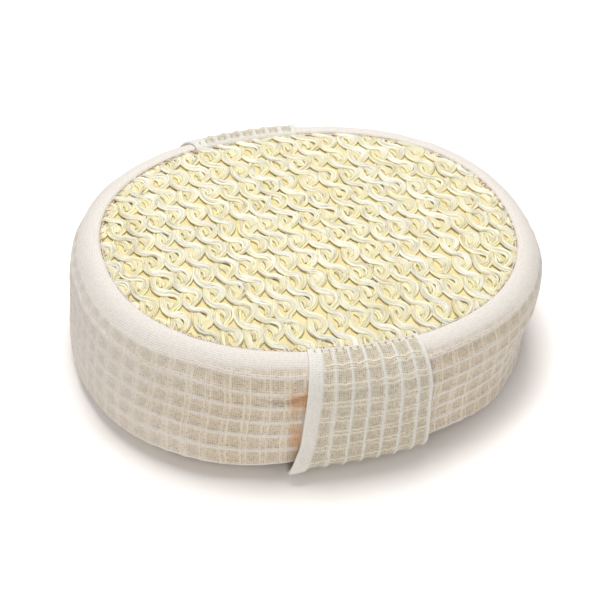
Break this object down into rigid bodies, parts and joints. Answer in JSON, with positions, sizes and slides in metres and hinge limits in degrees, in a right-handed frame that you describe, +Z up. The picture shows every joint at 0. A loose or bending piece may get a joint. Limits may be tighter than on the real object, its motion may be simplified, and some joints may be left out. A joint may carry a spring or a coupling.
{
  "type": "loofah back scrubber",
  "caption": "Oval foam bath and back scrubber pad with a knitted sisal face, a waffle-weave cotton side band and back, and a cotton hand strap that lifts off the back.",
  "frame": {"origin": "centre of the underside, on the surface that the pad lies on", "axes": "+X along the oval, towards the thinner end; +Y across it, away from the near end of the strap; +Z up, out of the sisal face"},
  "size_m": [0.1495, 0.1274, 0.0485],
  "materials": {
    "foam": "matte",
    "lining": "matte",
    "sisal_yarn": "satin",
    "waffle_cotton": "matte",
    "strap_cotton": "matte",
    "cotton_thread": "matte",
    "tan_thread": "matte"
  },
  "bodies": {
    "pad": {"foam_core": "foam", "face_lining": "lining", "sisal_face": "sisal_yarn", "side_band": "waffle_cotton", "back_panel": "waffle_cotton", "top_seam_thread": "cotton_thread", "face_overlock_thread": "tan_thread", "bottom_seam_thread": "cotton_thread", "band_closing_seam": "cotton_thread", "cover_closing_stitches": "cotton_thread", "strap_front_fall": "strap_cotton", "strap_back_fall": "strap_cotton", "strap_front_tack": "cotton_thread", "strap_back_tack": "cotton_thread"},
    "strap": {"strap_span": "strap_cotton"}
  },
  "joints": [
    {"name": "strap_lift", "type": "slide", "parent": "pad", "child": "strap", "axis": [0, 0, -1], "range_m": [0, 0.02]}
  ]
}
